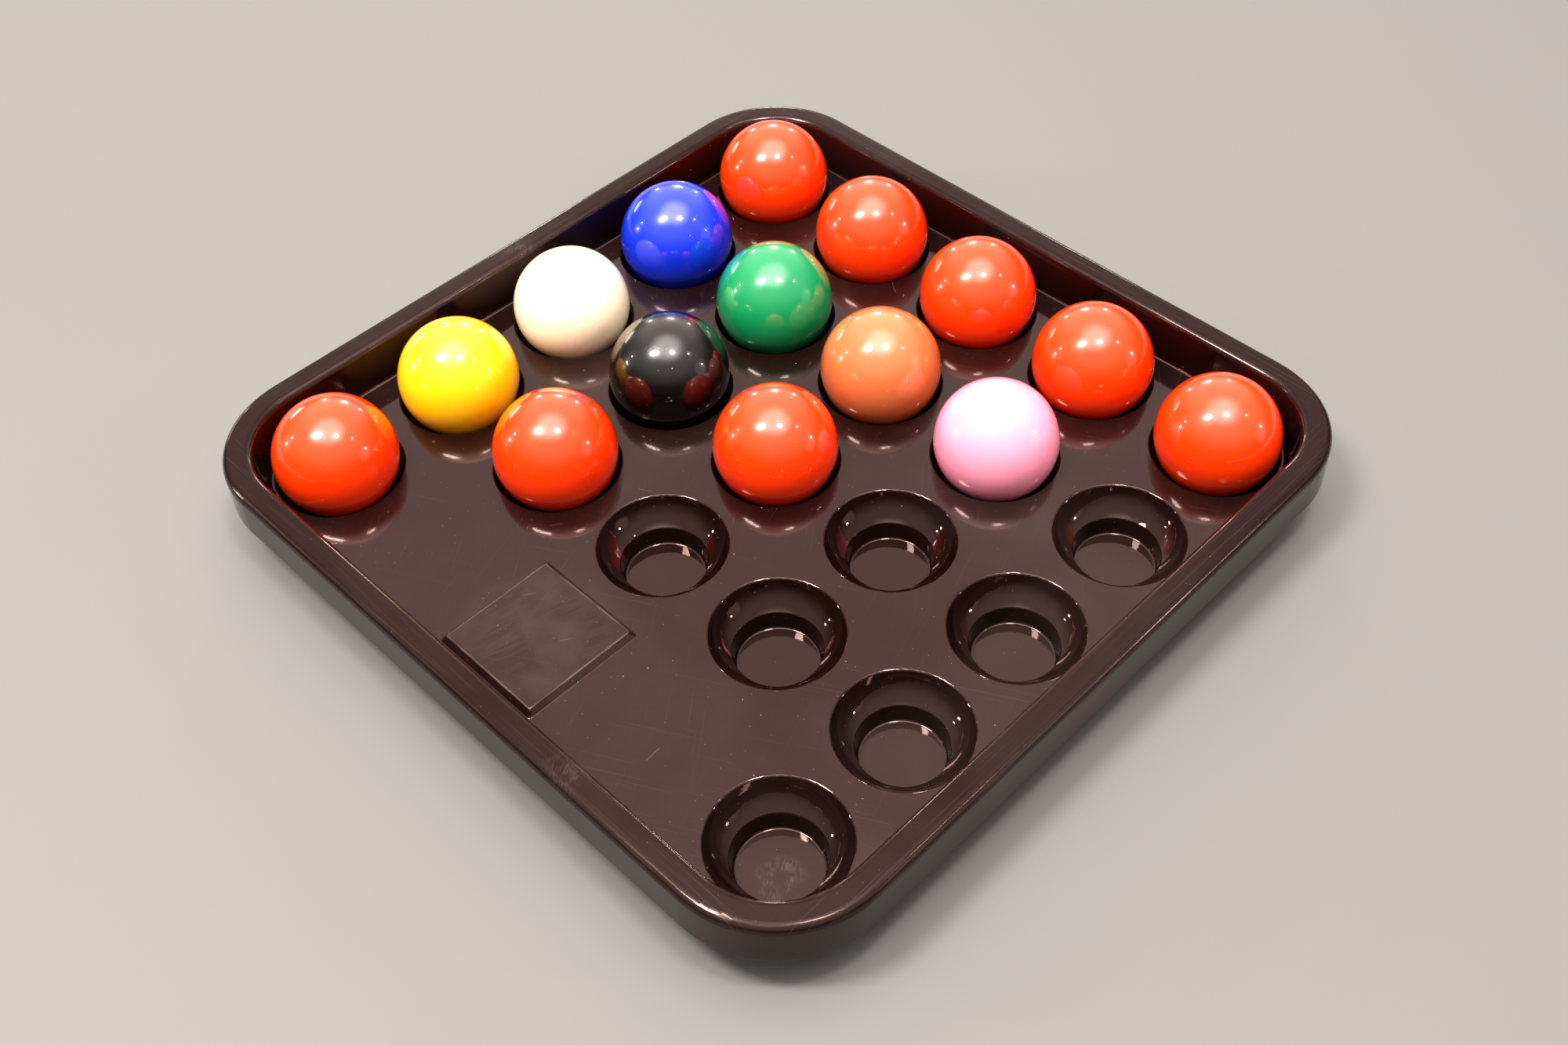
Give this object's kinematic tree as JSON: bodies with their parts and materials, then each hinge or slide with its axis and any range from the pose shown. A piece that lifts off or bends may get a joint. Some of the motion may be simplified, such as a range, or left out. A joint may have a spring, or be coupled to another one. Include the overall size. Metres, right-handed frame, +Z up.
{
  "type": "snooker ball tray",
  "caption": "Square moulded tray with a raised rim and rows of round wells, holding loose snooker balls in a triangle formation.",
  "frame": {"origin": "on the table plane, under the middle of the tray", "axes": "+Z up; +Y towards the side with the full row of red balls; +X towards the end of that row away from the other balls"},
  "size_m": [0.352, 0.352, 0.0555],
  "materials": {
    "tray_plastic": "high gloss moulded plastic, dark brown-black",
    "red_ball": "polished phenolic resin",
    "blue_ball": "polished phenolic resin",
    "green_ball": "polished phenolic resin",
    "brown_ball": "polished phenolic resin",
    "pink_ball": "polished phenolic resin",
    "white_ball": "polished phenolic resin",
    "black_ball": "polished phenolic resin",
    "yellow_ball": "polished phenolic resin"
  },
  "bodies": {
    "tray": {"tray": "tray_plastic"},
    "red_ball_1": {"red_ball_1": "red_ball"},
    "red_ball_2": {"red_ball_2": "red_ball"},
    "red_ball_3": {"red_ball_3": "red_ball"},
    "red_ball_4": {"red_ball_4": "red_ball"},
    "red_ball_5": {"red_ball_5": "red_ball"},
    "blue_ball": {"blue_ball": "blue_ball"},
    "green_ball": {"green_ball": "green_ball"},
    "brown_ball": {"brown_ball": "brown_ball"},
    "pink_ball": {"pink_ball": "pink_ball"},
    "white_ball": {"white_ball": "white_ball"},
    "black_ball": {"black_ball": "black_ball"},
    "red_ball_6": {"red_ball_6": "red_ball"},
    "yellow_ball": {"yellow_ball": "yellow_ball"},
    "red_ball_7": {"red_ball_7": "red_ball"},
    "red_ball_8": {"red_ball_8": "red_ball"}
  },
  "joints": [
    {"name": "red_ball_1_lift", "type": "slide", "parent": "tray", "child": "red_ball_1", "axis": [0, 0, 1], "range_m": [0, 0.06]},
    {"name": "red_ball_2_lift", "type": "slide", "parent": "tray", "child": "red_ball_2", "axis": [0, 0, 1], "range_m": [0, 0.06]},
    {"name": "red_ball_3_lift", "type": "slide", "parent": "tray", "child": "red_ball_3", "axis": [0, 0, 1], "range_m": [0, 0.06]},
    {"name": "red_ball_4_lift", "type": "slide", "parent": "tray", "child": "red_ball_4", "axis": [0, 0, 1], "range_m": [0, 0.06]},
    {"name": "red_ball_5_lift", "type": "slide", "parent": "tray", "child": "red_ball_5", "axis": [0, 0, 1], "range_m": [0, 0.06]},
    {"name": "blue_ball_lift", "type": "slide", "parent": "tray", "child": "blue_ball", "axis": [0, 0, 1], "range_m": [0, 0.06]},
    {"name": "green_ball_lift", "type": "slide", "parent": "tray", "child": "green_ball", "axis": [0, 0, 1], "range_m": [0, 0.06]},
    {"name": "brown_ball_lift", "type": "slide", "parent": "tray", "child": "brown_ball", "axis": [0, 0, 1], "range_m": [0, 0.06]},
    {"name": "pink_ball_lift", "type": "slide", "parent": "tray", "child": "pink_ball", "axis": [0, 0, 1], "range_m": [0, 0.06]},
    {"name": "white_ball_lift", "type": "slide", "parent": "tray", "child": "white_ball", "axis": [0, 0, 1], "range_m": [0, 0.06]},
    {"name": "black_ball_lift", "type": "slide", "parent": "tray", "child": "black_ball", "axis": [0, 0, 1], "range_m": [0, 0.06]},
    {"name": "red_ball_6_lift", "type": "slide", "parent": "tray", "child": "red_ball_6", "axis": [0, 0, 1], "range_m": [0, 0.06]},
    {"name": "yellow_ball_lift", "type": "slide", "parent": "tray", "child": "yellow_ball", "axis": [0, 0, 1], "range_m": [0, 0.06]},
    {"name": "red_ball_7_lift", "type": "slide", "parent": "tray", "child": "red_ball_7", "axis": [0, 0, 1], "range_m": [0, 0.06]},
    {"name": "red_ball_8_lift", "type": "slide", "parent": "tray", "child": "red_ball_8", "axis": [0, 0, 1], "range_m": [0, 0.06]}
  ]
}
